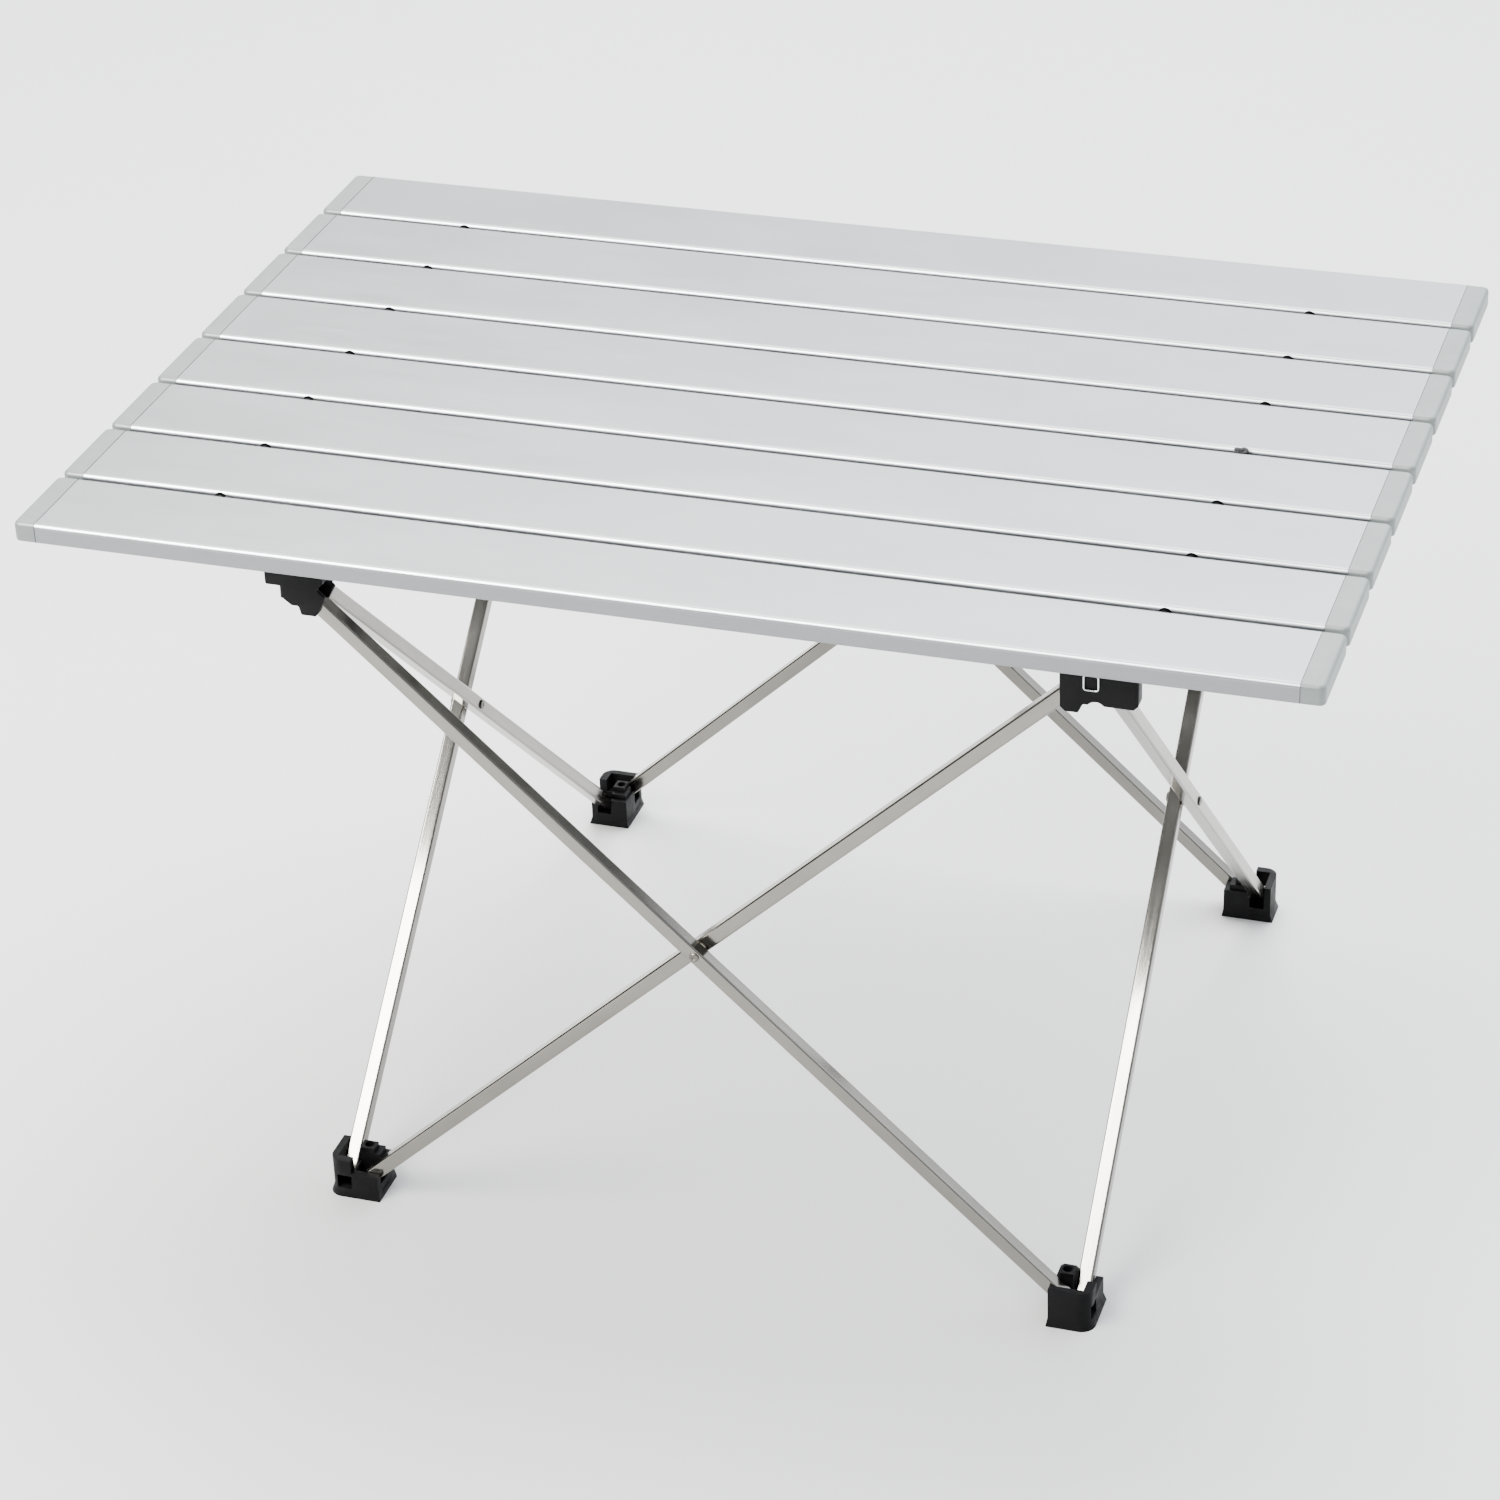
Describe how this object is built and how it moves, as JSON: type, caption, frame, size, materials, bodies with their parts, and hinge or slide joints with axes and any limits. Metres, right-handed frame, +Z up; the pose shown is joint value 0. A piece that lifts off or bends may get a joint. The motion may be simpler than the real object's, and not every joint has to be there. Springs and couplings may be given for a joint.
{
  "type": "folding side table",
  "caption": "Low folding camp table with a slatted roll-up metal top clipped on a square scissor frame.",
  "frame": {"origin": "on the floor under the middle of the table top", "axes": "+X along the slats (the long side of the top), +Y to the back, +Z up"},
  "size_m": [0.67, 0.456, 0.406],
  "materials": {
    "anodised_aluminium": "satin anodised",
    "polished_tube": "bright drawn",
    "cap_plastic": "moulded, fine texture",
    "black_nylon": "moulded, slight gloss",
    "elastic_cord": "braided",
    "spacer_nylon": "plain",
    "steel": "bright"
  },
  "bodies": {
    "foot_front_left": {"foot_front_left": "black_nylon", "foot_pins_front_left": "steel"},
    "clip_front_left": {"clip_front_left": "black_nylon", "clip_pins_front_left": "steel"},
    "foot_front_right": {"foot_front_right": "black_nylon", "foot_pins_front_right": "steel"},
    "clip_front_right": {"clip_front_right": "black_nylon", "clip_pins_front_right": "steel"},
    "foot_back_right": {"foot_back_right": "black_nylon", "foot_pins_back_right": "steel"},
    "clip_back_right": {"clip_back_right": "black_nylon", "clip_pins_back_right": "steel"},
    "foot_back_left": {"foot_back_left": "black_nylon", "foot_pins_back_left": "steel"},
    "clip_back_left": {"clip_back_left": "black_nylon", "clip_pins_back_left": "steel"},
    "front_leg_outer": {"front_leg_outer": "polished_tube", "front_rivet": "steel", "front_spacer": "spacer_nylon"},
    "front_leg_inner": {"front_leg_inner": "polished_tube"},
    "right_leg_outer": {"right_leg_outer": "polished_tube", "right_rivet": "steel", "right_spacer": "spacer_nylon"},
    "right_leg_inner": {"right_leg_inner": "polished_tube"},
    "back_leg_outer": {"back_leg_outer": "polished_tube", "back_rivet": "steel", "back_spacer": "spacer_nylon"},
    "back_leg_inner": {"back_leg_inner": "polished_tube"},
    "left_leg_outer": {"left_leg_outer": "polished_tube", "left_rivet": "steel", "left_spacer": "spacer_nylon"},
    "left_leg_inner": {"left_leg_inner": "polished_tube"},
    "slat_1": {"slat_1": "anodised_aluminium", "end_caps_1": "cap_plastic", "cord_bushes_1": "black_nylon"},
    "slat_2": {"slat_2": "anodised_aluminium", "end_caps_2": "cap_plastic", "cord_bushes_2": "black_nylon"},
    "slat_3": {"slat_3": "anodised_aluminium", "end_caps_3": "cap_plastic", "cord_bushes_3": "black_nylon"},
    "slat_4": {"slat_4": "anodised_aluminium", "end_caps_4": "cap_plastic", "cord_bushes_4": "black_nylon", "elastic_cord_left": "elastic_cord", "elastic_cord_right": "elastic_cord"},
    "slat_5": {"slat_5": "anodised_aluminium", "end_caps_5": "cap_plastic", "cord_bushes_5": "black_nylon"},
    "slat_6": {"slat_6": "anodised_aluminium", "end_caps_6": "cap_plastic", "cord_bushes_6": "black_nylon"},
    "slat_7": {"slat_7": "anodised_aluminium", "end_caps_7": "cap_plastic", "cord_bushes_7": "black_nylon"},
    "slat_8": {"slat_8": "anodised_aluminium", "end_caps_8": "cap_plastic", "cord_bushes_8": "black_nylon"},
    "wire_loop_front_right": {"wire_loop_front_right": "steel"},
    "wire_loop_back_left": {"wire_loop_back_left": "steel"}
  },
  "joints": [
    {"name": "frame_fold", "type": "hinge", "parent": "foot_front_left", "child": "front_leg_inner", "pos_m": [-0.1855, -0.2016, 0.009], "axis": [0, -1, 0], "range_deg": [0, 42.5]},
    {"name": "clip_front_right_pivot", "type": "hinge", "parent": "front_leg_inner", "child": "clip_front_right", "pos_m": [0.2135, -0.2016, 0.379], "axis": [0, 1, 0], "range_deg": [0, 42.5]},
    {"name": "front_centre_pivot", "type": "hinge", "parent": "front_leg_inner", "child": "front_leg_outer", "pos_m": [0.014, -0.206, 0.194], "axis": [0, 1, 0], "range_deg": [0, 85]},
    {"name": "foot_front_right_pivot", "type": "hinge", "parent": "front_leg_outer", "child": "foot_front_right", "pos_m": [0.2135, -0.2104, 0.009], "axis": [0, -1, 0], "range_deg": [0, 42.5]},
    {"name": "clip_front_left_pivot", "type": "hinge", "parent": "front_leg_outer", "child": "clip_front_left", "pos_m": [-0.1855, -0.2104, 0.379], "axis": [0, -1, 0], "range_deg": [0, 42.5]},
    {"name": "left_outer_foot_pivot", "type": "hinge", "parent": "foot_front_left", "child": "left_leg_outer", "pos_m": [-0.1964, -0.1995, 0.009], "axis": [1, 0, 0], "range_deg": [0, 42.5]},
    {"name": "clip_back_left_pivot", "type": "hinge", "parent": "left_leg_outer", "child": "clip_back_left", "pos_m": [-0.1964, 0.1995, 0.379], "axis": [-1, 0, 0], "range_deg": [0, 42.5]},
    {"name": "left_centre_pivot", "type": "hinge", "parent": "left_leg_outer", "child": "left_leg_inner", "pos_m": [-0.192, 0, 0.194], "axis": [-1, 0, 0], "range_deg": [0, 85]},
    {"name": "foot_back_left_pivot", "type": "hinge", "parent": "left_leg_inner", "child": "foot_back_left", "pos_m": [-0.1876, 0.1995, 0.009], "axis": [1, 0, 0], "range_deg": [0, 42.5]},
    {"name": "right_inner_foot_pivot", "type": "hinge", "parent": "foot_front_right", "child": "right_leg_inner", "pos_m": [0.2156, -0.1995, 0.009], "axis": [1, 0, 0], "range_deg": [0, 42.5]},
    {"name": "clip_back_right_pivot", "type": "hinge", "parent": "right_leg_inner", "child": "clip_back_right", "pos_m": [0.2156, 0.1995, 0.379], "axis": [-1, 0, 0], "range_deg": [0, 42.5]},
    {"name": "right_centre_pivot", "type": "hinge", "parent": "right_leg_inner", "child": "right_leg_outer", "pos_m": [0.22, 0, 0.194], "axis": [-1, 0, 0], "range_deg": [0, 85]},
    {"name": "foot_back_right_pivot", "type": "hinge", "parent": "right_leg_outer", "child": "foot_back_right", "pos_m": [0.2244, 0.1995, 0.009], "axis": [1, 0, 0], "range_deg": [0, 42.5]},
    {"name": "back_outer_foot_pivot", "type": "hinge", "parent": "foot_back_left", "child": "back_leg_outer", "pos_m": [-0.1855, 0.2104, 0.009], "axis": [0, -1, 0], "range_deg": [0, 42.5]},
    {"name": "back_centre_pivot", "type": "hinge", "parent": "back_leg_outer", "child": "back_leg_inner", "pos_m": [0.014, 0.206, 0.194], "axis": [0, 1, 0], "range_deg": [0, 85]},
    {"name": "top_lift", "type": "slide", "parent": "clip_front_right", "child": "slat_4", "axis": [0, 0, 1], "range_m": [0, 0.2235]},
    {"name": "top_roll", "type": "hinge", "parent": "slat_4", "child": "slat_5", "pos_m": [0, 0, 0.4015], "axis": [-1, 0, 0], "range_deg": [0, 44], "deforming": ["elastic_cord_left", "elastic_cord_right"]},
    {"name": "roll_5_6", "type": "hinge", "parent": "slat_5", "child": "slat_6", "pos_m": [0, -0.0575, 0.4015], "axis": [-1, 0, 0], "range_deg": [0, 44]},
    {"name": "roll_6_7", "type": "hinge", "parent": "slat_6", "child": "slat_7", "pos_m": [0, -0.115, 0.4015], "axis": [-1, 0, 0], "range_deg": [0, 44]},
    {"name": "roll_7_8", "type": "hinge", "parent": "slat_7", "child": "slat_8", "pos_m": [0, -0.1725, 0.4015], "axis": [-1, 0, 0], "range_deg": [0, 44]},
    {"name": "roll_3_4", "type": "hinge", "parent": "slat_4", "child": "slat_3", "pos_m": [0, 0.0575, 0.4015], "axis": [1, 0, 0], "range_deg": [0, 44]},
    {"name": "roll_2_3", "type": "hinge", "parent": "slat_3", "child": "slat_2", "pos_m": [0, 0.115, 0.4015], "axis": [1, 0, 0], "range_deg": [0, 44]},
    {"name": "roll_1_2", "type": "hinge", "parent": "slat_2", "child": "slat_1", "pos_m": [0, 0.1725, 0.4015], "axis": [1, 0, 0], "range_deg": [0, 44]},
    {"name": "wire_loop_front_right_swing", "type": "hinge", "parent": "clip_front_right", "child": "wire_loop_front_right", "pos_m": [0.2205, -0.21425, 0.3884], "axis": [-1, 0, 0], "range_deg": [0, 60]},
    {"name": "wire_loop_back_left_swing", "type": "hinge", "parent": "clip_back_left", "child": "wire_loop_back_left", "pos_m": [-0.1925, 0.21425, 0.3884], "axis": [1, 0, 0], "range_deg": [0, 60]}
  ],
  "couplings": [
    {"joint": "clip_front_right_pivot", "follows": "frame_fold", "ratio": 1},
    {"joint": "front_centre_pivot", "follows": "frame_fold", "ratio": 2},
    {"joint": "foot_front_right_pivot", "follows": "frame_fold", "ratio": 1},
    {"joint": "clip_front_left_pivot", "follows": "frame_fold", "ratio": 1},
    {"joint": "left_outer_foot_pivot", "follows": "frame_fold", "ratio": 1},
    {"joint": "clip_back_left_pivot", "follows": "frame_fold", "ratio": 1},
    {"joint": "left_centre_pivot", "follows": "frame_fold", "ratio": 2},
    {"joint": "foot_back_left_pivot", "follows": "frame_fold", "ratio": 1},
    {"joint": "right_inner_foot_pivot", "follows": "frame_fold", "ratio": 1},
    {"joint": "clip_back_right_pivot", "follows": "frame_fold", "ratio": 1},
    {"joint": "right_centre_pivot", "follows": "frame_fold", "ratio": 2},
    {"joint": "foot_back_right_pivot", "follows": "frame_fold", "ratio": 1},
    {"joint": "back_outer_foot_pivot", "follows": "frame_fold", "ratio": 1},
    {"joint": "back_centre_pivot", "follows": "frame_fold", "ratio": 2},
    {"joint": "top_lift", "follows": "frame_fold", "m_per_rad": 0.3},
    {"joint": "roll_5_6", "follows": "top_roll", "ratio": 1},
    {"joint": "roll_6_7", "follows": "top_roll", "ratio": 1},
    {"joint": "roll_7_8", "follows": "top_roll", "ratio": 1},
    {"joint": "roll_3_4", "follows": "top_roll", "ratio": 1},
    {"joint": "roll_2_3", "follows": "top_roll", "ratio": 1},
    {"joint": "roll_1_2", "follows": "top_roll", "ratio": 1}
  ]
}
